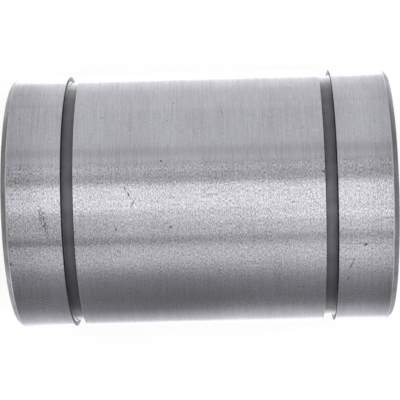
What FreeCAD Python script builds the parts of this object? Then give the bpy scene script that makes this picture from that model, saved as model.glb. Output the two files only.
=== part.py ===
# Open-type linear ball bearing for a 25 mm shaft.
# A hardened steel sleeve holds a moulded cage, in which closed circuits of balls run.
# One straight row of each circuit carries the shaft, and the balls come back along a second row.
# A flanked opening runs along the underside, so that the shaft can be held from below.
# The shaft's axis is X, the opening faces down (-Z), and the origin is at mid-length on the axis.

import FreeCAD
import Part
import itertools
import math
import os
from FreeCAD import Vector

# Driving dimensions, in millimetres, or in degrees where the name says so

# Boundary sizes
shaft_diameter = 25.0
outer_diameter = 40.0
overall_length = 59.0

# Opening along the underside
opening_width = 12.0  # narrowest gap, where the flanks meet the shaft's surface
opening_angle_deg = 50.0  # between the two flanks
inner_setback = 0.3  # cage, rings and seals stand back this far from the sleeve's flanks

# Sleeve
race_wall = 3.48  # steel behind the raceways
end_chamfer = 0.9  # outer edge of each end
mouth_chamfer = 0.3  # inner edge of each end
circlip_span = 41.0  # over the outer edges of the two circlip grooves
circlip_width = 1.85
circlip_depth = 1.0

# Ball circuits
circuit_sectors = 6  # equal sectors around the shaft, of which the opening takes one
shaft_clearance = 0.01  # balls of the loaded rows to the shaft
race_clearance = 0.04  # balls of the loaded rows to the sleeve
relief_clearance = 0.12  # balls of the return rows to the sleeve's flutes
track_clearance = 0.1  # balls to the walls of the cage's tracks
ball_spacing = 0.08  # least gap between two balls of a row
track_web = 2.23  # between the ball surfaces of a circuit's two rows

# Cage
cage_bore_clearance = 0.5  # to the shaft
cage_fit_clearance = 0.22  # to the raceways
cage_end_wall = 1.25  # beyond the turns of the ball tracks
turn_flats = 6  # flat stretches of each half turn

# Retaining rings and end seals
seat_step = 0.08  # the end bores are this much deeper than the flutes
seal_recess = 0.5  # below the sleeve's end face
seal_thickness = 2.2
seal_fit_clearance = 0.05  # to the bore that it sits in
seal_rim_width = 1.6  # raised rim of the outer face
seal_dish_depth = 0.7  # from the rim to the face inside it
seal_lip_clearance = 0.05  # to the shaft
ring_thickness = 1.2
ring_groove_depth = 0.65
ring_seat_clearance = 0.1  # ring to the bottom of its groove
ring_side_clearance = 0.05  # ring to the groove's walls, the seal and the cage
ring_inset = 0.295  # ring's inner edge, inside the middle of the loaded balls that it keeps in

# Tools that cut run past the material by this much
overrun = 1.0

# Sizes that follow

shaft_radius = shaft_diameter / 2
outer_radius = outer_diameter / 2
half_length = overall_length / 2

race_radius = outer_radius - race_wall
ball_diameter = race_radius - race_clearance - shaft_radius - shaft_clearance
ball_radius = ball_diameter / 2

# Each circuit lies in a plane that touches the loaded row's cylinder along that row
loaded_radius = shaft_radius + shaft_clearance + ball_radius
row_distance = ball_diameter + track_web
turn_radius = row_distance / 2
return_radius = math.hypot(loaded_radius, row_distance)
return_angle_deg = math.degrees(math.atan2(row_distance, loaded_radius))
flute_radius = ball_radius + relief_clearance
seat_radius = return_radius + flute_radius + seat_step
track_half_width = ball_radius + track_clearance

# Along the axis, from the end face inwards
seal_outer_x = half_length - seal_recess
seal_inner_x = seal_outer_x - seal_thickness
ring_outer_x = seal_inner_x - ring_side_clearance
ring_inner_x = ring_outer_x - ring_thickness
cage_end_x = ring_inner_x - 2 * ring_side_clearance
turn_x = cage_end_x - cage_end_wall - track_half_width - turn_radius

cage_bore_radius = shaft_radius + cage_bore_clearance
cage_outer_radius = race_radius - cage_fit_clearance
ring_groove_radius = seat_radius + ring_groove_depth
lip_radius = shaft_radius + seal_lip_clearance

# The balls fill each straight row and each turn evenly, which sets their pitch
balls_in_row = math.floor(2 * turn_x / (ball_diameter + ball_spacing))
row_pitch = 2 * turn_x / balls_in_row
balls_in_turn = math.floor(math.pi / (2 * math.asin((ball_diameter + ball_spacing) / row_distance)))
turn_step = math.pi / balls_in_turn

ORIGIN = Vector(0, 0, 0)
AXIS = Vector(1, 0, 0)
UP = Vector(0, 0, 1)


# Forms that several pieces share

def turned(outline):
    """Solid of revolution about the shaft's axis from (x, radius) points. Its seam faces the opening."""
    points = [Vector(x, 0, -radius) for x, radius in outline]
    return Part.Face(Part.makePolygon(points + points[:1])).revolve(ORIGIN, AXIS, 360)


def opening(setback):
    """Wedge that cuts the opening, with each flank moved outwards by the setback."""
    gap_depth = math.sqrt(shaft_radius ** 2 - (opening_width / 2) ** 2)
    slope = math.tan(math.radians(opening_angle_deg / 2))
    corners = []
    for side, depth in ((-1, gap_depth / 2), (1, gap_depth / 2), (1, outer_diameter), (-1, outer_diameter)):
        half_width = opening_width / 2 + setback + (depth - gap_depth) * slope
        corners.append(Vector(-half_length - overrun, side * half_width, -depth))
    wedge = Part.Face(Part.makePolygon(corners + corners[:1]))
    return wedge.extrude(AXIS * (overall_length + 2 * overrun))


def other_end(shape):
    """The same piece at the other end of the bearing."""
    turned_round = shape.copy()
    turned_round.rotate(ORIGIN, UP, 180)
    return turned_round


def circuit_angles_deg():
    """Turns about the axis that take a circuit from the top of the shaft to each of its places."""
    sector = 360 / circuit_sectors
    opening_direction = -180
    return [opening_direction + sector * n - return_angle_deg / 2 for n in range(1, circuit_sectors)]


def in_each_circuit(shape):
    """Copies of a shape that is drawn for a circuit at the top of the shaft, one in each circuit."""
    copies = []
    for angle in circuit_angles_deg():
        placed = shape.copy()
        placed.rotate(ORIGIN, AXIS, angle)
        copies.append(placed)
    return copies


# Outer sleeve: turned and ground steel, with circlip grooves outside, and inside raceways, flutes that make
# room for the return rows, and grooves for the retaining rings

def outer_sleeve():
    groove_outer = circlip_span / 2
    groove_inner = groove_outer - circlip_width
    groove_floor = outer_radius - circlip_depth
    ring_groove_outer = ring_outer_x + ring_side_clearance
    ring_groove_inner = ring_inner_x - ring_side_clearance
    right_half = [
        (groove_inner, outer_radius),
        (groove_inner, groove_floor),
        (groove_outer, groove_floor),
        (groove_outer, outer_radius),
        (half_length - end_chamfer, outer_radius),
        (half_length, outer_radius - end_chamfer),
        (half_length, seat_radius + mouth_chamfer),
        (half_length - mouth_chamfer, seat_radius),
        (ring_groove_outer, seat_radius),
        (ring_groove_outer, ring_groove_radius),
        (ring_groove_inner, ring_groove_radius),
        (ring_groove_inner, seat_radius),
        (turn_x, seat_radius),
        (turn_x, race_radius),
    ]
    left_half = [(-x, radius) for x, radius in reversed(right_half)]
    flute = Part.makeCylinder(flute_radius, 2 * turn_x, Vector(-turn_x, -row_distance, loaded_radius), AXIS)
    return turned(right_half + left_half).cut([opening(0)] + in_each_circuit(flute))


# Cage: one moulding, with a track for each circuit that is open outwards and breaks through to the shaft
# along the loaded row, by less than a ball's width

def track_route():
    """Closed middle line of a circuit at the top of the shaft, with flats round each half turn."""
    step = math.pi / turn_flats
    corner_radius = turn_radius / math.cos(step / 2)
    points = []
    for end in (1, -1):
        for n in range(turn_flats):
            angle = (n + 0.5) * step
            x = end * (turn_x + corner_radius * math.sin(angle))
            y = end * corner_radius * math.cos(angle) - turn_radius
            points.append(Vector(x, y, loaded_radius))
    return Part.makePolygon(points + points[:1])


def ball_track():
    """Half octagon round a ball, open outwards, swept along the circuit with mitred corners."""
    flat = track_half_width * math.tan(math.pi / 8)
    section = [
        (-track_half_width, ball_diameter),
        (-track_half_width, -flat),
        (-flat, -track_half_width),
        (flat, -track_half_width),
        (track_half_width, -flat),
        (track_half_width, ball_diameter),
    ]
    points = [Vector(0, across, loaded_radius + height) for across, height in section]
    profile = Part.makePolygon(points + points[:1])
    mitred = 1
    return track_route().makePipeShell([profile], True, False, mitred)


def ball_cage():
    tube = turned([
        (-cage_end_x, cage_bore_radius),
        (cage_end_x, cage_bore_radius),
        (cage_end_x, cage_outer_radius),
        (-cage_end_x, cage_outer_radius),
    ])
    return tube.cut([opening(inner_setback)] + in_each_circuit(ball_track()))


# Retaining rings: flat spring steel, sprung into the grooves inside the sleeve against the cage's ends

def retaining_ring():
    ring_outer_radius = ring_groove_radius - ring_seat_clearance
    ring_inner_radius = loaded_radius - ring_inset
    return turned([
        (ring_inner_x, ring_inner_radius),
        (ring_outer_x, ring_inner_radius),
        (ring_outer_x, ring_outer_radius),
        (ring_inner_x, ring_outer_radius),
    ]).cut(opening(inner_setback))


# End seals: moulded rubber, pressed into the sleeve's ends, each with a lip that wipes the shaft

def end_seal():
    rim_radius = seat_radius - seal_fit_clearance
    dish_x = seal_outer_x - seal_dish_depth
    return turned([
        (seal_inner_x, lip_radius),
        (dish_x, lip_radius),
        (dish_x, rim_radius - seal_rim_width),
        (seal_outer_x, rim_radius - seal_rim_width),
        (seal_outer_x, rim_radius),
        (seal_inner_x, rim_radius),
    ]).cut(opening(inner_setback))


# Balls: hardened steel, with flat facets because there are so many. Each one touches what is round it with
# six true poles: the shaft and the raceway, the balls before and after it, and the track's two walls.

def ball():
    """Ball with corners at its six poles and in the middle of its eight octants."""
    corners = []
    facets = []

    def corner(direction):
        if direction not in corners:
            corners.append(direction)
        return corners.index(direction)

    for pole_axis, pole_sign in itertools.product(range(3), (1, -1)):
        pole = tuple(pole_sign if axis == pole_axis else 0 for axis in range(3))
        around = []
        for first, second in ((1, 1), (-1, 1), (-1, -1), (1, -1)):
            middle = [pole_sign, pole_sign, pole_sign]
            middle[(pole_axis + 1) % 3] = first
            middle[(pole_axis + 2) % 3] = second * pole_sign
            around.append(tuple(middle))
        for n, middle in enumerate(around):
            facets.append((corner(pole), corner(middle), corner(around[(n + 1) % len(around)])))
    points = [Vector(*direction).normalize() * ball_radius for direction in corners]
    surface = Part.Shape()
    surface.makeShapeFromMesh((points, facets), ball_spacing / 100)
    return Part.Solid(surface)


def ball_row(across):
    """A straight row of balls, drawn at the top of the shaft."""
    row = []
    for n in range(balls_in_row):
        placed = ball()
        placed.translate(Vector((n - (balls_in_row - 1) / 2) * row_pitch, across, loaded_radius))
        row.append(placed)
    return Part.Compound(row)


def ball_turn(end):
    """The balls round the half turn at one end, 1 or -1, each square to its path."""
    balls = []
    for n in range(balls_in_turn):
        angle = (n + 0.5) * turn_step
        placed = ball()
        placed.translate(Vector(0, turn_radius, 0))
        placed.rotate(ORIGIN, UP, -end * math.degrees(angle))
        placed.translate(Vector(end * turn_x, -turn_radius, loaded_radius))
        balls.append(placed)
    return Part.Compound(balls)


# Assembly

def pieces():
    made = {
        "outer_sleeve": outer_sleeve(),
        "ball_cage": ball_cage(),
        "right_retaining_ring": retaining_ring(),
        "left_retaining_ring": other_end(retaining_ring()),
        "right_end_seal": end_seal(),
        "left_end_seal": other_end(end_seal()),
    }
    groups = {
        "loaded_balls": ball_row(0),
        "return_balls": ball_row(-row_distance),
        "right_turn_balls": ball_turn(1),
        "left_turn_balls": ball_turn(-1),
    }
    for group, shape in groups.items():
        for n, placed in enumerate(in_each_circuit(shape), start=1):
            made[f"circuit_{n}_{group}"] = placed
    return made


os.makedirs("parts", exist_ok=True)
for name, shape in pieces().items():
    shape.exportStep(f"parts/{name}.step")
    print(name, len(shape.Solids), "solids", round(shape.Volume, 2), "mm3")
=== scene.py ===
import bmesh
import bpy
import math
from mathutils import Matrix, Vector


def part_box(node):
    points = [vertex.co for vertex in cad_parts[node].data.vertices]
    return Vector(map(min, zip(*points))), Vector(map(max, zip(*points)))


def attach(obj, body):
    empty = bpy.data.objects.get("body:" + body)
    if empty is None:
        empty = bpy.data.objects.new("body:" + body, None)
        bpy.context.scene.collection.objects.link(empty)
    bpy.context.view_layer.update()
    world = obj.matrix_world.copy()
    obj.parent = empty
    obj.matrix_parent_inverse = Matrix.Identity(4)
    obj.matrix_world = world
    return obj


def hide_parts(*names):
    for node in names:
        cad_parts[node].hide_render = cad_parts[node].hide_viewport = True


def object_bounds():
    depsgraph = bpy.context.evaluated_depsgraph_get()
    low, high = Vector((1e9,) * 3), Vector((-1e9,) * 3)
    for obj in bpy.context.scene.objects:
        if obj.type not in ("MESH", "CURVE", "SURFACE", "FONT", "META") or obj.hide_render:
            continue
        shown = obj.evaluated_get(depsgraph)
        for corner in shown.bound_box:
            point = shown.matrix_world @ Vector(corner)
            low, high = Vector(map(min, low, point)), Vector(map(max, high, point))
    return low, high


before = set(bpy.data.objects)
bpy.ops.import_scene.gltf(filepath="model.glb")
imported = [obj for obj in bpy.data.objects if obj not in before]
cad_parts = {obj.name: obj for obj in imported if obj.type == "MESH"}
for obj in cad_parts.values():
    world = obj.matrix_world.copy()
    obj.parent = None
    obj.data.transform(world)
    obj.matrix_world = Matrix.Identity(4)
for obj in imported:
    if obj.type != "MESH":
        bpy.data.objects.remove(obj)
cad_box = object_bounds()


# Outer sleeve: one tube of bearing steel, turned, hardened and ground on its outside. The circlip grooves,
# the chamfers and the end faces keep the dull grey of the heat treatment. The opening is milled along its
# underside, and its edges are lightly broken.

mm = 0.001
sleeve_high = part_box("outer_sleeve")[1]
half_length = sleeve_high.x / mm
outer_radius = sleeve_high.y / mm
shaft_radius = 12.5
opening_half_width = 6.0
opening_half_angle = math.radians(25)
end_chamfer = 0.9
mouth_chamfer = 0.3
circlip_outer_x = 20.5
circlip_width = 1.85
circlip_inner_x = circlip_outer_x - circlip_width
circlip_middle_x = circlip_outer_x - circlip_width / 2
circlip_floor = outer_radius - 1.0
seat_radius = 17.95
ring_groove_radius = seat_radius + 0.65
ring_groove_outer_x = 26.8
ring_groove_inner_x = 25.5
race_radius = 16.52
race_half_length = 19.015
loaded_row_radius = 14.495
row_distance = 6.2
return_row_radius = math.hypot(loaded_row_radius, row_distance)
row_half_angle = math.atan2(row_distance, loaded_row_radius) / 2
flute_radius = 2.105
ball_sector = math.radians(60)
ground_edge = 0.05
worn_edge = 0.12
turned_edge = 0.15
groove_corner = 0.25
opening_edge = 0.1


def open_ring(corners, edge_break, setback=0.0, steps=250):
    """Ring turned about X from (x, radius, rounding) corners in millimetres, with the opening cut through."""
    bm = bmesh.new()
    outline = [bm.verts.new((x, 0, -radius)) for x, radius, rounding in corners]
    bm.faces.new(outline)
    for size in sorted({rounding for x, radius, rounding in corners if rounding}):
        rounded = [vert for vert, corner in zip(outline, corners) if corner[2] == size]
        bmesh.ops.bevel(bm, geom=rounded, offset=size, offset_type="OFFSET", segments=3, profile=0.5,
                        affect="VERTICES", material=-1)
    spare_angle = math.radians(3)
    first_angle = opening_half_angle - spare_angle
    bmesh.ops.rotate(bm, verts=bm.verts, cent=(0, 0, 0), matrix=Matrix.Rotation(first_angle, 3, "X"))
    bmesh.ops.delete(bm, geom=bm.faces[:], context="FACES_ONLY")
    bmesh.ops.spin(bm, geom=bm.verts[:] + bm.edges[:], cent=(0, 0, 0), axis=(1, 0, 0),
                   angle=math.tau - 2 * first_angle, steps=steps)
    gap_depth = math.sqrt(shaft_radius ** 2 - opening_half_width ** 2)
    flanks = []
    for side in (1, -1):
        facing = Vector((0, -side * math.cos(opening_half_angle), -math.sin(opening_half_angle)))
        place = Vector((0, side * (opening_half_width + setback), -gap_depth)) - facing * edge_break
        near = {vert for vert in bm.verts if 0 < side * vert.co.y < -vert.co.z}
        cut_through = list(near)
        cut_through += [edge for edge in bm.edges if near.issuperset(edge.verts)]
        cut_through += [face for face in bm.faces if near.issuperset(face.verts)]
        cut = bmesh.ops.bisect_plane(bm, geom=cut_through, plane_co=place, plane_no=facing, clear_outer=True)
        rim = [edge for edge in cut["geom_cut"] if isinstance(edge, bmesh.types.BMEdge)]
        flanks += bmesh.ops.contextual_create(bm, geom=rim)["faces"]
    bmesh.ops.recalc_face_normals(bm, faces=bm.faces)
    bmesh.ops.inset_individual(bm, faces=flanks, thickness=edge_break, depth=edge_break, use_even_offset=True)
    return bm


def raw_object(bm, name):
    """Object from a bmesh in millimetres, which it uses up."""
    bmesh.ops.scale(bm, vec=(mm, mm, mm), verts=bm.verts)
    mesh = bpy.data.meshes.new(name)
    bm.to_mesh(mesh)
    bm.free()
    made = bpy.data.objects.new(name, mesh)
    bpy.context.scene.collection.objects.link(made)
    return made


def as_shown(piece):
    """The piece's mesh becomes what its modifiers show, and the modifiers go."""
    shown = piece.evaluated_get(bpy.context.evaluated_depsgraph_get())
    piece.data = bpy.data.meshes.new_from_object(shown)
    piece.modifiers.clear()


def finish_piece(piece, materials):
    """Gives a piece its materials and smooth faces, with sharp edges where the surface turns a corner."""
    for material in materials:
        piece.data.materials.append(material)
    piece.data.shade_smooth()
    piece.data.set_sharp_from_angle(angle=math.radians(40))
    weighted = piece.modifiers.new("flat_faces_stay_flat", "WEIGHTED_NORMAL")
    weighted.keep_sharp = True
    as_shown(piece)


def node(tree, kind, inputs=(), **settings):
    """Shader node whose inputs are set, or linked where the value is another node's output."""
    made = tree.nodes.new("ShaderNode" + kind)
    for setting, value in settings.items():
        setattr(made, setting, value)
    for socket, value in dict(inputs).items():
        if isinstance(value, bpy.types.NodeSocket):
            tree.links.new(value, made.inputs[socket])
        else:
            made.inputs[socket].default_value = value
    return made


def math_node(tree, operation, first, second=0.0):
    """Output of a Math node."""
    return node(tree, "Math", {0: first, 1: second}, operation=operation).outputs[0]


def new_material(name):
    """Material with a plain Principled shader, as (material, tree, shader)."""
    material = bpy.data.materials.new(name)
    material.use_nodes = True
    tree = material.node_tree
    return material, tree, tree.nodes["Principled BSDF"]


def round_the_shaft(tree):
    """Vector that unrolls a turned surface: along the shaft, around it and out from it, in millimetres."""
    place = node(tree, "TexCoord").outputs["Object"]
    x, y, z = node(tree, "SeparateXYZ", {0: place}).outputs
    along = math_node(tree, "MULTIPLY", x, 1 / mm)
    around = math_node(tree, "MULTIPLY", math_node(tree, "ARCTAN2", y, z), outer_radius)
    squares = math_node(tree, "ADD", math_node(tree, "MULTIPLY", y, y), math_node(tree, "MULTIPLY", z, z))
    out = math_node(tree, "MULTIPLY", math_node(tree, "SQRT", squares), 1 / mm)
    return node(tree, "CombineXYZ", {0: along, 1: around, 2: out}).outputs[0]


def grain(tree, surface, size, detail=2.0):
    """Noise from 0 to 1 whose specks have the given size along the shaft, around it and out from it."""
    stretched = node(tree, "Mapping", {"Vector": surface, "Scale": [1 / length for length in size]})
    noise = node(tree, "TexNoise", {"Vector": stretched.outputs[0], "Scale": 1.0, "Detail": detail})
    return noise.outputs["Fac"]


def remap(tree, value, low, high, to_low, to_high):
    """Value stretched from one range to another, and held inside it."""
    ranges = {"Value": value, "From Min": low, "From Max": high, "To Min": to_low, "To Max": to_high}
    return node(tree, "MapRange", ranges).outputs["Result"]


def spread(tree, noise, low, high):
    """Noise stretched so that most of it fills the range from low to high."""
    return remap(tree, noise, 0.3, 0.7, low, high)


def shade(tree, colour, value):
    """Colour made darker or lighter by a factor."""
    return node(tree, "VectorMath", {0: colour, 3: value}, operation="SCALE").outputs[0]


# Small damage on the outside, as (along, around, half length, half width, turn in degrees, strength). Pits
# and scratches are dark, and nicks are bright.
pits = [
    (-27.2, 3.2, 0.2, 0.18, 0, 0.7), (-26.9, 13.7, 0.15, 0.13, 0, 0.8), (-28.4, -9.6, 0.26, 0.22, 40, 1.0),
    (-25.5, -8.2, 0.18, 0.16, 0, 0.7), (-12.4, -4.4, 0.36, 0.17, 80, 0.9), (-6.1, -0.4, 0.2, 0.15, 0, 0.7),
    (-5.5, 5.7, 0.22, 0.17, 90, 1.0), (-4.3, -4.2, 0.4, 0.26, 10, 0.7), (13.8, -0.9, 0.2, 0.17, 0, 0.7),
    (17.1, -1.0, 0.18, 0.16, 0, 0.7), (24.4, -7.6, 0.42, 0.25, 35, 0.9), (21.9, -13.6, 0.5, 0.13, 75, 0.7),
]
scratches = [
    (-10.9, 1.7, 0.42, 0.13, -74, 0.9), (-10.4, 0.8, 0.55, 0.14, -69, 1.0), (-9.8, -0.5, 1.0, 0.1, 60, 0.8),
    (-12.1, -7.9, 0.6, 0.1, -20, 0.6), (18.4, 3.5, 0.45, 0.15, -45, 1.0), (22.4, -10.9, 1.9, 0.09, 67, 0.7),
    (14.9, -15.1, 1.3, 0.09, 3, 0.6), (24.4, -7.4, 4.0, 0.11, 0, 0.35), (-3.7, 16.2, 0.32, 0.12, 25, 0.55),
    (3.6, 13.8, 1.3, 0.09, -84, 0.4), (-14.5, 13.4, 0.3, 0.25, 0, 0.3), (-4.6, 12.5, 0.3, 0.12, 40, 0.35),
    (15.6, 10.7, 0.4, 0.1, -50, 0.4),
]
nicks = [
    (16.5, -14.4, 0.34, 0.1, -35, 0.8), (5.3, -15.5, 0.16, 0.12, 0, 0.8), (1.9, -16.6, 0.2, 0.1, 5, 0.6),
    (-6.4, -16.3, 0.1, 0.2, 0, 0.6), (18.4, -16.2, 0.3, 0.1, -60, 0.8), (10.6, 13.4, 0.7, 0.1, -20, 0.25),
    (14.2, 20.1, 0.8, 0.12, -60, 0.25), (17.7, 10.1, 0.5, 0.1, 8, 0.3),
]
rubbed = (-23.1, -2.9, 2.6, 0.75, -78)

# The ends are tarnished beyond these places. Coarse flecks, lighter and darker, are a painted reflection of
# the
# softbox: they lie only where it is reflected around the top, and fade out between these pairs of places
# around it.
tarnish_left_x = -22.5
tarnish_right_x = 24.5
left_end_tone = 0.72
right_end_tone = 0.82
softbox_band_back = (6.0, 4.9)
softbox_band_front = (-15.0, -11.0)
ground_colour = (0.555, 0.552, 0.591)


def worn_spot(tree, surface, along, around, half_long, half_wide, turn):
    """One inside an oval on the unrolled surface, and zero outside it."""
    oval = {"Vector": surface, "Location": (along, around, outer_radius),
            "Rotation": (0, 0, math.radians(turn)), "Scale": (half_long, half_wide, outer_radius)}
    inside = node(tree, "Mapping", oval, vector_type="TEXTURE").outputs[0]
    off_centre = node(tree, "VectorMath", {0: inside}, operation="LENGTH").outputs["Value"]
    return remap(tree, off_centre, 0.4, 1.0, 1.0, 0.0)


def ground_steel():
    """Bright steel with fine grinding marks around it, as the outside of the sleeve has."""
    material, tree, shader = new_material("ground_steel")
    surface = round_the_shaft(tree)
    along, around, out = node(tree, "SeparateXYZ", {0: surface}).outputs
    specks = grain(tree, surface, (0.15, 0.38, 1.0), detail=1.0)
    streaks = grain(tree, surface, (0.3, 9.0, 1.0), detail=3.0)
    clouds = grain(tree, surface, (7.0, 9.0, 5.0))
    lines = grain(tree, surface, (0.17, 1.8, 1.0), detail=1.0)
    flecks = grain(tree, surface, (0.12, 0.34, 1.0), detail=1.0)
    blots = grain(tree, surface, (0.3, 0.8, 1.0), detail=1.0)
    # painted reflection: tone flecks only in the band where the softbox is reflected
    softbox_band = math_node(tree, "MULTIPLY", remap(tree, around, *softbox_band_back, 0.0, 1.0),
                        remap(tree, around, *softbox_band_front, 0.0, 1.0))
    reflection_flecks = math_node(tree, "ADD", spread(tree, flecks, -0.38, 0.38), spread(tree, blots, -0.1, 0.1))
    tone = math_node(tree, "MULTIPLY", remap(tree, along, -half_length, tarnish_left_x, left_end_tone, 1.0),
                     remap(tree, along, tarnish_right_x, half_length, 1.0, right_end_tone))
    for change in (
        remap(tree, specks, 0.3, 0.52, -0.03, 0.0),
        math_node(tree, "MULTIPLY", reflection_flecks, softbox_band),
        spread(tree, lines, -0.05, 0.05),
        spread(tree, streaks, -0.08, 0.08),
        spread(tree, clouds, -0.05, 0.05),
    ):
        tone = math_node(tree, "ADD", tone, change)
    wear = math_node(tree, "MULTIPLY", worn_spot(tree, surface, *rubbed),
                     remap(tree, specks, 0.54, 0.44, 0.0, 0.85))
    for *oval, strength in pits + scratches:
        mark = math_node(tree, "MULTIPLY", worn_spot(tree, surface, *oval), strength)
        wear = math_node(tree, "MAXIMUM", wear, mark)
    tone = math_node(tree, "MULTIPLY", tone, remap(tree, wear, 0.0, 1.0, 1.0, 0.12))
    roughness = remap(tree, specks, 0.3, 0.52, 0.38, 0.265)
    for *oval, strength in nicks:
        mark = math_node(tree, "MULTIPLY", worn_spot(tree, surface, *oval), strength)
        tone = math_node(tree, "ADD", tone, mark)
        roughness = math_node(tree, "MAXIMUM", roughness, mark)
    tree.links.new(shade(tree, ground_colour, tone), shader.inputs["Base Color"])
    shader.inputs["Metallic"].default_value = 1.0
    tree.links.new(roughness, shader.inputs["Roughness"])
    shader.inputs["Anisotropic"].default_value = 1.0
    shader.inputs["Anisotropic Rotation"].default_value = 0.25
    turning = node(tree, "Tangent", direction_type="RADIAL", axis="X")
    tree.links.new(turning.outputs[0], shader.inputs["Tangent"])
    height = math_node(tree, "ADD", specks, math_node(tree, "MULTIPLY", streaks, 0.1))
    height = math_node(tree, "SUBTRACT", height, wear)
    bump = node(tree, "Bump", {"Height": height, "Strength": 1.0, "Distance": 0.012 * mm})
    tree.links.new(bump.outputs[0], shader.inputs["Normal"])
    return material


def turned_steel(name, colour, roughness=0.45, groove=None):
    """Dull grey steel with the lines of a lathe tool. A (middle, width) groove has an oil film, is darker
    towards its corners, and has painted light that lightens its front.
    """
    material, tree, shader = new_material(name)
    surface = round_the_shaft(tree)
    lines = grain(tree, surface, (0.09, 25.0, 0.09), detail=3.0)
    stains = grain(tree, surface, (1.6, 2.4, 1.2), detail=5.0)
    tone = math_node(tree, "ADD", spread(tree, stains, 0.85, 1.12), spread(tree, lines, -0.1, 0.1))
    if groove:
        middle, width = groove
        along, around, out = node(tree, "SeparateXYZ", {0: surface}).outputs
        outwards = math_node(tree, "SUBTRACT", math_node(tree, "ABSOLUTE", along), middle)
        off_middle = math_node(tree, "ABSOLUTE", outwards)
        for groove_tone_and_painted_light in (
            # darker towards both corners of the groove, and more towards its outer corner
            remap(tree, off_middle, 0.15 * width, 0.45 * width, 1.0, 0.75),
            remap(tree, outwards, 0.0, 0.45 * width, 1.12, 0.88),
            # painted light: the groove is made lighter towards the front of the bearing
            remap(tree, around, -16.0, -4.0, 1.25, 1.0),
        ):
            tone = math_node(tree, "MULTIPLY", tone, groove_tone_and_painted_light)
        shader.inputs["Coat Weight"].default_value = 1.0
        shader.inputs["Coat Roughness"].default_value = 0.1
        shader.inputs["Coat IOR"].default_value = 1.3
    tree.links.new(shade(tree, colour, tone), shader.inputs["Base Color"])
    shader.inputs["Metallic"].default_value = 1.0
    polish = spread(tree, stains, roughness + 0.05, roughness - 0.05)
    tree.links.new(polish, shader.inputs["Roughness"])
    bump = node(tree, "Bump", {"Height": lines, "Strength": 1.0, "Distance": 0.008 * mm})
    tree.links.new(bump.outputs[0], shader.inputs["Normal"])
    return material


right_half = [
    (circlip_inner_x, outer_radius, ground_edge),
    (circlip_inner_x, circlip_floor, groove_corner),
    (circlip_outer_x, circlip_floor, groove_corner),
    (circlip_outer_x, outer_radius, ground_edge),
    (half_length - end_chamfer, outer_radius, worn_edge),
    (half_length, outer_radius - end_chamfer, turned_edge),
    (half_length, seat_radius + mouth_chamfer, 0),
    (half_length - mouth_chamfer, seat_radius, 0),
    (ring_groove_outer_x, seat_radius, 0),
    (ring_groove_outer_x, ring_groove_radius, 0),
    (ring_groove_inner_x, ring_groove_radius, 0),
    (ring_groove_inner_x, seat_radius, 0),
    (race_half_length, seat_radius, 0),
    (race_half_length, race_radius, 0),
]
left_half = [(-x, radius, rounding) for x, radius, rounding in reversed(right_half)]
sleeve_mesh = open_ring(right_half + left_half, opening_edge)

# The return rows run in flutes, which widen the bore between the raceways
for vert in sleeve_mesh.verts:
    radius = math.hypot(vert.co.y, vert.co.z)
    if abs(radius - race_radius) < ground_edge:
        turn = (math.atan2(vert.co.y, vert.co.z) + row_half_angle) % ball_sector
        off_row = min(turn, ball_sector - turn)
        across = return_row_radius * math.sin(off_row)
        if across < flute_radius:
            reach = return_row_radius * math.cos(off_row) + math.sqrt(flute_radius ** 2 - across ** 2)
            vert.co.yz *= max(reach / radius, 1)

GROUND, GROOVE, TURNED, BURNISHED = range(4)
for face in sleeve_mesh.faces:
    middle = face.calc_center_median()
    radius = math.hypot(middle.y, middle.z)
    past_land = abs(middle.x) - (half_length - end_chamfer)
    if radius > outer_radius - worn_edge and abs(past_land) < worn_edge:
        face.material_index = BURNISHED
    elif radius > outer_radius - ground_edge and past_land < 0:
        face.material_index = GROUND
    elif circlip_floor - ground_edge < radius and circlip_inner_x < abs(middle.x) < circlip_outer_x:
        face.material_index = GROOVE
    else:
        face.material_index = TURNED

sleeve_materials = [
    ground_steel(),
    turned_steel("groove_steel", (0.12, 0.1155, 0.1265), groove=(circlip_middle_x, circlip_width)),
    turned_steel("turned_steel", (0.229, 0.229, 0.243)),
    turned_steel("burnished_edge", (0.525, 0.525, 0.55), roughness=0.35),
]
sleeve = raw_object(sleeve_mesh, "ground_sleeve")
finish_piece(sleeve, sleeve_materials)
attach(sleeve, "bearing")
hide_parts("outer_sleeve")


# Ball cage: one moulding of black plastic. Each of its five tracks is open outwards, with a round bottom that
# breaks through to the shaft along the loaded row. It slides into the sleeve with its balls in place.

cage_half_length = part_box("ball_cage")[1].x / mm
cage_bore_radius = 13.0
cage_outer_radius = race_radius - 0.22
inner_setback = 0.3
ball_radius = 1.985
track_radius = ball_radius + 0.1
cage_edge = 0.12


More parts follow.
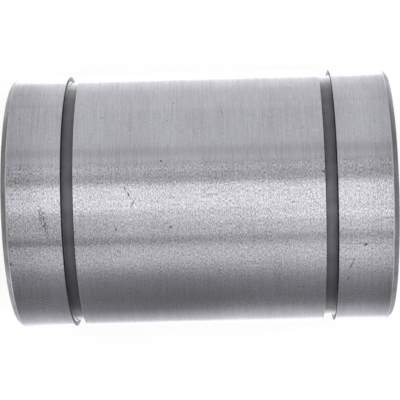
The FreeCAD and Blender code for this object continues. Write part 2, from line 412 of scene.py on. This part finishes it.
def ball_track():
    """Closed channel of one circuit at the top of the shaft, with a round bottom, in millimetres."""
    bm = bmesh.new()
    bottom = bm.verts.new((-race_half_length, -track_radius, loaded_row_radius))
    bmesh.ops.spin(bm, geom=[bottom], cent=(-race_half_length, 0, loaded_row_radius), axis=(1, 0, 0),
                   angle=math.pi, steps=16)
    lip = [vert for vert in bm.verts if vert.co.z > loaded_row_radius - cage_edge]
    walls = bmesh.ops.extrude_vert_indiv(bm, verts=lip)["verts"]
    bmesh.ops.translate(bm, verts=walls, vec=(0, 0, 2 * ball_radius))
    bmesh.ops.contextual_create(bm, geom=walls)
    leading = bm.edges[:]
    turn_centre_y = -row_distance / 2
    for run in (2 * race_half_length, -2 * race_half_length):
        pulled = bmesh.ops.extrude_edge_only(bm, edges=leading)["geom"]
        moved = [part for part in pulled if isinstance(part, bmesh.types.BMVert)]
        bmesh.ops.translate(bm, verts=moved, vec=(run, 0, 0))
        leading = [part for part in pulled if isinstance(part, bmesh.types.BMEdge)]
        swept = bmesh.ops.spin(bm, geom=leading + moved, cent=(run / 2, turn_centre_y, 0), axis=(0, 0, 1),
                               angle=-math.pi, steps=24)
        leading = [part for part in swept["geom_last"] if isinstance(part, bmesh.types.BMEdge)]
    bmesh.ops.remove_doubles(bm, verts=bm.verts, dist=0.001)
    bmesh.ops.recalc_face_normals(bm, faces=bm.faces)
    return bm


def moulded(name, colour, roughness, speck):
    """Moulded plastic or rubber with a fine skin, uneven in tone and gloss."""
    material, tree, shader = new_material(name)
    surface = round_the_shaft(tree)
    skin = grain(tree, surface, (speck, speck, speck), detail=4.0)
    flow = grain(tree, surface, (4.0, 6.0, 3.0), detail=3.0)
    tree.links.new(shade(tree, colour, spread(tree, flow, 0.75, 1.3)), shader.inputs["Base Color"])
    gloss = spread(tree, flow, roughness + 0.08, roughness - 0.08)
    tree.links.new(gloss, shader.inputs["Roughness"])
    bump = node(tree, "Bump", {"Height": skin, "Strength": 1.0, "Distance": 0.012 * mm})
    tree.links.new(bump.outputs[0], shader.inputs["Normal"])
    return material


cage_mesh = open_ring([
    (-cage_half_length, cage_bore_radius, cage_edge),
    (cage_half_length, cage_bore_radius, cage_edge),
    (cage_half_length, cage_outer_radius, cage_edge),
    (-cage_half_length, cage_outer_radius, cage_edge),
], cage_edge, inner_setback, steps=180)
cage = raw_object(cage_mesh, "moulded_cage")
for circuit in range(1, 6):
    track_mesh = ball_track()
    place = Matrix.Rotation(math.pi + circuit * ball_sector - row_half_angle, 3, "X")
    bmesh.ops.rotate(track_mesh, verts=track_mesh.verts, cent=(0, 0, 0), matrix=place)
    track = raw_object(track_mesh, "track")
    cut = cage.modifiers.new("track", "BOOLEAN")
    cut.object = track
    cut.solver = "EXACT"
    as_shown(cage)
    bpy.data.objects.remove(track)
finish_piece(cage, [moulded("cage_plastic", (0.035, 0.035, 0.038), 0.42, 0.12)])
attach(cage, "bearing")
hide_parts("ball_cage")


# Balls: hardened chrome steel, lapped to a mirror, five circuits of 22. Each circuit is a loaded row, a
# return row and a half turn at each end, and each of these moves along its own stretch of the track.

def ball_steel():
    """Lapped steel with a thin, uneven film of oil."""
    material, tree, shader = new_material("ball_steel")
    place = node(tree, "TexCoord").outputs["Object"]
    film = node(tree, "TexNoise", {"Vector": place, "Scale": 0.4 / mm, "Detail": 4.0}).outputs["Fac"]
    colour = shade(tree, (0.68, 0.68, 0.7), spread(tree, film, 0.9, 1.05))
    tree.links.new(colour, shader.inputs["Base Color"])
    shader.inputs["Metallic"].default_value = 1.0
    tree.links.new(spread(tree, film, 0.07, 0.16), shader.inputs["Roughness"])
    return material


lapped = ball_steel()
ball_groups = [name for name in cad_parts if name.endswith("_balls")]
for group in sorted(ball_groups):
    solids = bmesh.new()
    solids.from_mesh(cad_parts[group].data)
    bmesh.ops.remove_doubles(solids, verts=solids.verts, dist=0.01 * mm)
    gathered = set()
    balls = bmesh.new()
    for first in solids.verts:
        if first in gathered:
            continue
        gathered.add(first)
        ball = [first]
        for vert in ball:
            for edge in vert.link_edges:
                joined = edge.other_vert(vert)
                if joined not in gathered:
                    gathered.add(joined)
                    ball.append(joined)
        centre = sum((vert.co for vert in ball), Vector()) / len(ball)
        bmesh.ops.create_icosphere(balls, subdivisions=3, radius=ball_radius,
                                   matrix=Matrix.Translation(centre / mm))
    solids.free()
    lapped_balls = raw_object(balls, group.replace("_balls", "_lapped_balls"))
    finish_piece(lapped_balls, [lapped])
    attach(lapped_balls, group)
    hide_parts(group)


# Retaining rings: stamped from spring steel and blackened. One is sprung into the groove inside each end of
# the sleeve, against the cage.

ring_inner_radius = 14.2
ring_edge = 0.12
blackened = turned_steel("spring_steel", (0.1, 0.097, 0.094))
for side in ("right", "left"):
    ring_low, ring_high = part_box(f"{side}_retaining_ring")
    ring_outer_radius = ring_high.z / mm
    ring_mesh = open_ring([
        (ring_low.x / mm, ring_inner_radius, ring_edge),
        (ring_high.x / mm, ring_inner_radius, ring_edge),
        (ring_high.x / mm, ring_outer_radius, ring_edge),
        (ring_low.x / mm, ring_outer_radius, ring_edge),
    ], ring_edge, inner_setback, steps=180)
    ring = raw_object(ring_mesh, f"{side}_spring_ring")
    finish_piece(ring, [blackened])
    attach(ring, "bearing")
    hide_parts(f"{side}_retaining_ring")


# End seals: moulded from black rubber and pressed into the sleeve's ends. A raised rim fills the seat, and
# the dished face inside it ends in a round lip that wipes the shaft.

seal_rim_width = 1.6
seal_dish_depth = 0.7
lip_radius = 12.55
lip_round = 0.55
rim_round = 0.3
seal_edge = 0.12
rubber = moulded("seal_rubber", (0.022, 0.022, 0.024), 0.55, 0.2)
for side, out in (("right", 1), ("left", -1)):
    seal_low, seal_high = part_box(f"{side}_end_seal")
    inner_x, outer_x = sorted((seal_low.x / mm, seal_high.x / mm), key=abs)
    dish_x = outer_x - out * seal_dish_depth
    rim_radius = seal_high.z / mm
    seal_mesh = open_ring([
        (inner_x, lip_radius, seal_edge),
        (dish_x, lip_radius, lip_round),
        (dish_x, rim_radius - seal_rim_width, rim_round),
        (outer_x, rim_radius - seal_rim_width, rim_round),
        (outer_x, rim_radius, rim_round),
        (inner_x, rim_radius, seal_edge),
    ], seal_edge, inner_setback, steps=220)
    seal = raw_object(seal_mesh, f"{side}_lip_seal")
    finish_piece(seal, [rubber])
    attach(seal, "bearing")
    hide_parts(f"{side}_end_seal")


# Floor: a plain white sheet under the bearing, with painted shade that makes it a little greyer away from it.
# It looks white to the camera and in reflections, keeps the bearing's soft shadow, and is clear from below.

floor_z = cad_box[0].z / mm
floor_half_width = 2000
sheet_colour = (0.5, 0.5, 0.5)
sheet_glow = 0.66
white_reach = 50
painted_shade_reach = 80
painted_shade_tone = 0.8


def empty_material(name):
    """Material without any nodes, as (material, tree)."""
    material = bpy.data.materials.new(name)
    material.use_nodes = True
    material.node_tree.nodes.clear()
    return material, material.node_tree


floor_mesh = bmesh.new()
bmesh.ops.create_grid(floor_mesh, x_segments=1, y_segments=1, size=floor_half_width)
bmesh.ops.translate(floor_mesh, verts=floor_mesh.verts, vec=(0, 0, floor_z))
floor = raw_object(floor_mesh, "floor")
white_sheet, tree = empty_material("white_sheet")
ray = node(tree, "LightPath")
seen = math_node(tree, "MAXIMUM", ray.outputs["Is Camera Ray"], ray.outputs["Is Glossy Ray"])
seen = math_node(tree, "MAXIMUM", seen, ray.outputs["Is Transmission Ray"])
place = node(tree, "TexCoord").outputs["Object"]
flat = node(tree, "VectorMath", {0: place, 1: (1, 1, 0)}, operation="MULTIPLY").outputs[0]
reach = node(tree, "VectorMath", {0: flat}, operation="LENGTH").outputs["Value"]
# painted shade: the sheet's colour and glow fade to grey away from the bearing
tone = remap(tree, reach, white_reach * mm, painted_shade_reach * mm, 1.0, painted_shade_tone)
paper = node(tree, "BsdfDiffuse", {"Color": shade(tree, sheet_colour, tone)})
glow = node(tree, "Emission", {"Color": tone, "Strength": math_node(tree, "MULTIPLY", seen, sheet_glow)})
lit_paper = node(tree, "AddShader", {0: paper.outputs[0], 1: glow.outputs[0]})
underside = node(tree, "NewGeometry").outputs["Backfacing"]
clear = node(tree, "BsdfTransparent")
one_sided = node(tree, "MixShader", {0: underside, 1: lit_paper.outputs[0], 2: clear.outputs[0]})
node(tree, "OutputMaterial", {"Surface": one_sided.outputs[0]})
floor.data.materials.append(white_sheet)


# Studio light: a pale room with a softbox above the bearing, dim panels on the ceiling, one panel behind and
# two in front, and strips of light on the floor along both sides. Cards and flags that only reflections see
# give the steel its dark and pale bands.

world = bpy.data.worlds.new("pale_room")
bpy.context.scene.world = world
world.use_nodes = True
room = world.node_tree.nodes["Background"]
room.inputs["Color"].default_value = (0.99, 0.99, 1.0, 1)
room.inputs["Strength"].default_value = 0.61

white = (1.0, 1.0, 1.0)
rosy = (1.1, 1.0, 1.04)
bluish = (0.97, 1.0, 1.03)
cool = (0.93, 1.0, 1.04)
just_above_floor = floor_z + 0.5


def overhead(angle, distance):
    """Place (y, z) at an angle from straight up, in degrees, positive towards the back."""
    turn = math.radians(angle)
    return distance * math.sin(turn), distance * math.cos(turn)


def area_lamp(name, place, turn, length, width, radiance, tint):
    """Rectangular lamp that the camera doesn't see, in millimetres, which shines down unless it is turned."""
    lamp = bpy.data.lights.new(name, "AREA")
    lamp.shape = "RECTANGLE"
    lamp.size = length * mm
    lamp.size_y = width * mm
    lamp.energy = radiance * math.pi * lamp.size * lamp.size_y
    lamp.color = tint
    lit = bpy.data.objects.new(name, lamp)
    lit.location = Vector(place) * mm
    lit.rotation_euler = (turn, 0, 0)
    lit.visible_camera = False
    bpy.context.scene.collection.objects.link(lit)


def panel(name, first, last, distance, length, radiance, shift=0, tint=white):
    """Lamp that faces the shaft and spans two angles from straight up."""
    middle = (first + last) / 2
    width = 2 * distance * math.tan(math.radians(abs(last - first) / 2))
    place = (shift, *overhead(middle, distance))
    area_lamp(name, place, -math.radians(middle), length, width, radiance, tint)


def floor_strip(name, near, far, radiance, length=400, shift=0, tint=white):
    """Lamp that lies on the floor between two distances from the shaft and shines up."""
    place = (shift, (near + far) / 2, just_above_floor)
    area_lamp(name, place, math.pi, length, abs(far - near), radiance, tint)


panel("softbox", 13.5, -10.5, distance=450, length=800, radiance=0.74, shift=60)
panel("softbox_right", -10.5, -31, distance=150, length=300, radiance=0.5, shift=150)
panel("softbox_edge", -11.5, -18, distance=120, length=300, radiance=0.5, shift=150)
panel("ceiling_left", 40, 22, distance=200, length=300, radiance=0.21, shift=-180, tint=rosy)
panel("ceiling", 38, 27, distance=500, length=1000, radiance=0.14, shift=-100, tint=rosy)
panel("back_panel", 47, 95, distance=500, length=1000, radiance=0.19, tint=bluish)
panel("front_panel", -41, -55.5, distance=300, length=500, radiance=0.46, shift=240)
panel("ceiling_rim", 27.3, 25.7, distance=500, length=1000, radiance=0.2)
panel("front_right", -55.5, -67, distance=300, length=300, radiance=0.45, shift=200)
floor_strip("back_edge", 22, 41, radiance=0.8, tint=cool)
floor_strip("front_edge", -22, -32, radiance=0.4, tint=cool)
floor_strip("left_patch", -32, -80, radiance=1.2, length=90, shift=-95)


def card(name, left, right, near, far, tones):
    """Card that only reflections see, between two (y, z) edges, with (place, tone) steps from near to far."""
    card_mesh = bmesh.new()
    corners = [(left, *near), (right, *near), (right, *far), (left, *far)]
    bmesh.ops.contextual_create(card_mesh, geom=[card_mesh.verts.new(corner) for corner in corners])
    made = raw_object(card_mesh, name)
    made.visible_camera = False
    made.visible_diffuse = False
    made.visible_shadow = False
    material, tree = empty_material(name)
    x, y, z = node(tree, "SeparateXYZ", {0: node(tree, "TexCoord").outputs["Object"]}).outputs
    shades = node(tree, "ValToRGB", {0: remap(tree, y, near[0] * mm, far[0] * mm, 0.0, 1.0)})
    ramp = shades.color_ramp
    while len(ramp.elements) < len(tones):
        ramp.elements.new(1.0)
    for element, (step, tone) in zip(ramp.elements, tones):
        element.position = step
        element.color = (tone, tone, 1.03 * tone, 1)
    glow = node(tree, "Emission", {"Color": shades.outputs[0], "Strength": 1.0})
    node(tree, "OutputMaterial", {"Surface": glow.outputs[0]})
    made.data.materials.append(material)


def flag(name, left, right, first, last, tone):
    """Grey strip over the bearing that spans two angles from straight up."""
    distance = 100
    card(name, left, right, overhead(first, distance), overhead(last, distance), [(0.0, tone), (1.0, tone)])


front_card_top_y = -110
card("front_card_end", -57, -26, (-32, just_above_floor), (front_card_top_y, floor_z + 88),
     [(0.0, 1.1), (0.17, 0.34), (0.3, 0.26), (1.0, 0.46)])
card("front_card_left", -26, 2, (-32, just_above_floor), (front_card_top_y, floor_z + 88),
     [(0.0, 0.9), (0.14, 0.235), (0.26, 0.19), (1.0, 0.46)])
card("front_card_right", 2, 62, (-35, just_above_floor), (front_card_top_y, floor_z + 64),
     [(0.0, 0.9), (0.2, 0.28), (0.32, 0.235), (1.0, 0.5)])
for side, out in (("right", 1), ("left", -1)):
    card(f"side_card_{side}", out * 75, out * 500, (30, just_above_floor), (200, just_above_floor),
         [(0.0, 0.35), (1.0, 0.2)])
flag("flag", -200, -8, -31.5, -36.5, tone=0.2)
flag("slim_flag", -200, 200, 28.5, 29.9, tone=0.3)


# Camera: looks straight down on the closed side, turned a little, so that the bearing's right end stands
# higher in the picture. Its lens is worked out for a picture 400 pixels wide.

image_size = 400
focal_pixels = 1484
camera_height = 238.2
centre_right = 0.392
centre_up = 0.289
roll = math.radians(1.45)
yaw = math.radians(1.53)
camera_data = bpy.data.cameras.new("camera")
camera_data.sensor_width = 36
camera_data.lens = camera_data.sensor_width * focal_pixels / image_size
camera_data.clip_start = 0.01
camera = bpy.data.objects.new("camera", camera_data)
to_camera = Matrix.Rotation(roll, 3, "Z") @ Matrix.Rotation(-yaw, 3, "Y")
turned = to_camera.transposed()
place = -(turned @ Vector((centre_right, centre_up, -camera_height))) * mm
camera.matrix_world = Matrix.LocRotScale(place, turned.to_quaternion(), None)
bpy.context.scene.collection.objects.link(camera)
bpy.context.scene.camera = camera
bpy.context.scene.view_settings.view_transform = "Standard"
